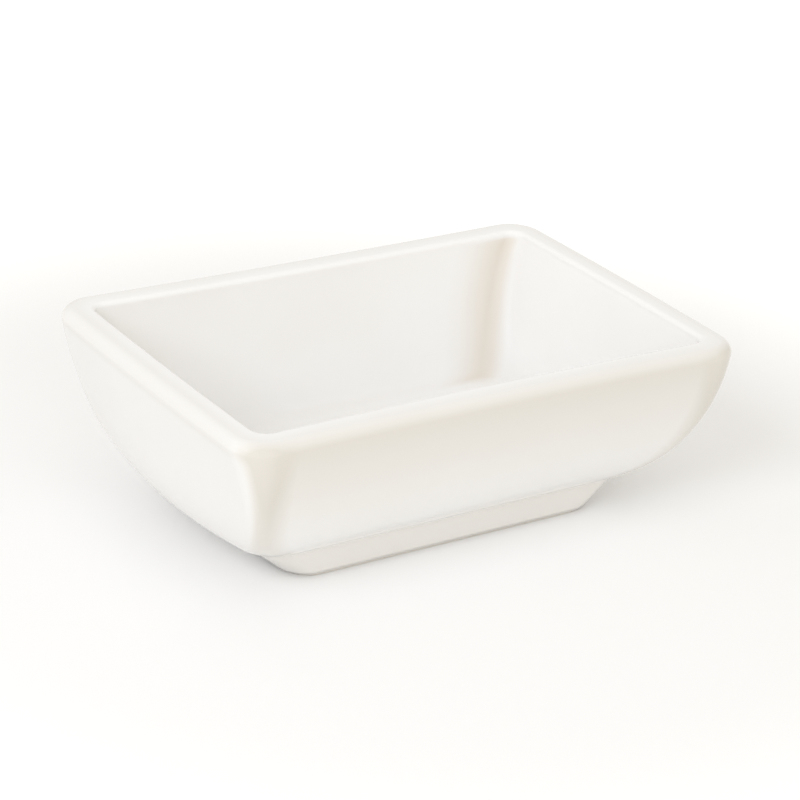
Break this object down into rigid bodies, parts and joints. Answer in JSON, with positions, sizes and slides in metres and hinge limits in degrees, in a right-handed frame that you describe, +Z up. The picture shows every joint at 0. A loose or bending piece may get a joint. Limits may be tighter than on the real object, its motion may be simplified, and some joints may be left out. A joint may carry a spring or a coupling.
{
  "type": "sauce dish",
  "caption": "Small rectangular glazed porcelain dish with inward-curving walls, a rounded rim and a hollow foot, for dipping sauce or condiments.",
  "frame": {"origin": "centre of the face that the dish stands on", "axes": "+X along the dish's length, +Y along its width, +Z up out of its mouth"},
  "size_m": [0.101, 0.0662, 0.0334],
  "materials": {
    "porcelain": "bare fired clay, matt",
    "glaze": "glossy warm white glaze"
  },
  "bodies": {
    "root": {"dish_body": "porcelain", "foot_ring": "porcelain", "glaze_coat": "glaze", "underside_glaze": "glaze"}
  },
  "joints": []
}
